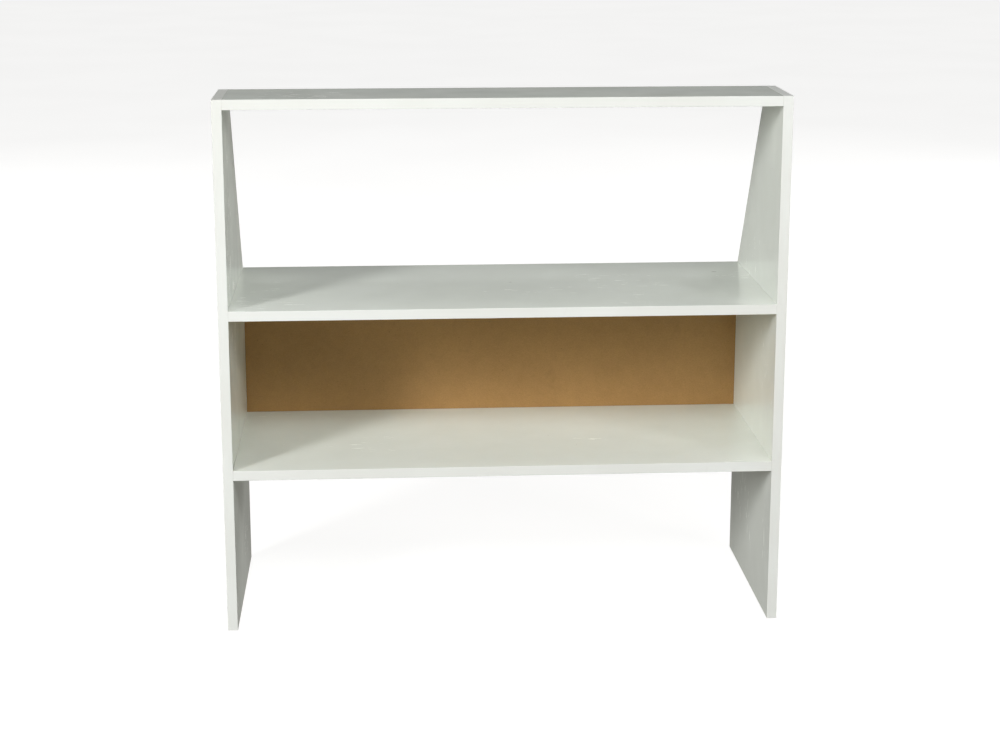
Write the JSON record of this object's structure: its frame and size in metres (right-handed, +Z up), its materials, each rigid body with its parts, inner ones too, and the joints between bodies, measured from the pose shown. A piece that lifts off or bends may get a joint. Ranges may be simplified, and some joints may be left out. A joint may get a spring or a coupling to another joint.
{
  "type": "desk hutch",
  "caption": "Free-standing white desk hutch with sloped-back side panels, a shallow top, fixed full-depth shelves and a hardboard back between the shelves.",
  "frame": {"origin": "centre of the footprint, on the surface that the glides stand on", "axes": "+X to the right as seen from the front, +Y towards the back, +Z up"},
  "size_m": [0.9, 0.3506, 0.866],
  "materials": {
    "white_melamine_board": "satin white melamine facing over chipboard",
    "white_edging": "satin white edging strip",
    "hardboard": "unpainted brown fibreboard, smooth side to the front",
    "pin_steel": "bright steel wire",
    "die_cast_zinc": "dull cast zinc",
    "plated_steel": "zinc plated",
    "beech": "raw turned beech",
    "glide_plastic": "hard white plastic"
  },
  "bodies": {
    "root": {"left_side_panel": "white_melamine_board", "right_side_panel": "white_melamine_board", "top_panel": "white_melamine_board", "middle_shelf": "white_melamine_board", "lower_shelf": "white_melamine_board", "left_side_front_band": "white_edging", "left_side_top_band": "white_edging", "left_side_slope_band": "white_edging", "left_side_rear_band": "white_edging", "right_side_front_band": "white_edging", "right_side_top_band": "white_edging", "right_side_slope_band": "white_edging", "right_side_rear_band": "white_edging", "top_panel_front_band": "white_edging", "top_panel_rear_band": "white_edging", "middle_shelf_front_band": "white_edging", "middle_shelf_rear_band": "white_edging", "lower_shelf_front_band": "white_edging", "back_panel": "hardboard", "back_panel_pins": "pin_steel", "cam_locks": "die_cast_zinc", "connecting_bolts": "plated_steel", "wood_dowels": "beech", "glide_nails": "pin_steel", "foot_glide_front_left": "glide_plastic", "foot_glide_rear_left": "glide_plastic", "foot_glide_front_right": "glide_plastic", "foot_glide_rear_right": "glide_plastic"}
  },
  "joints": []
}
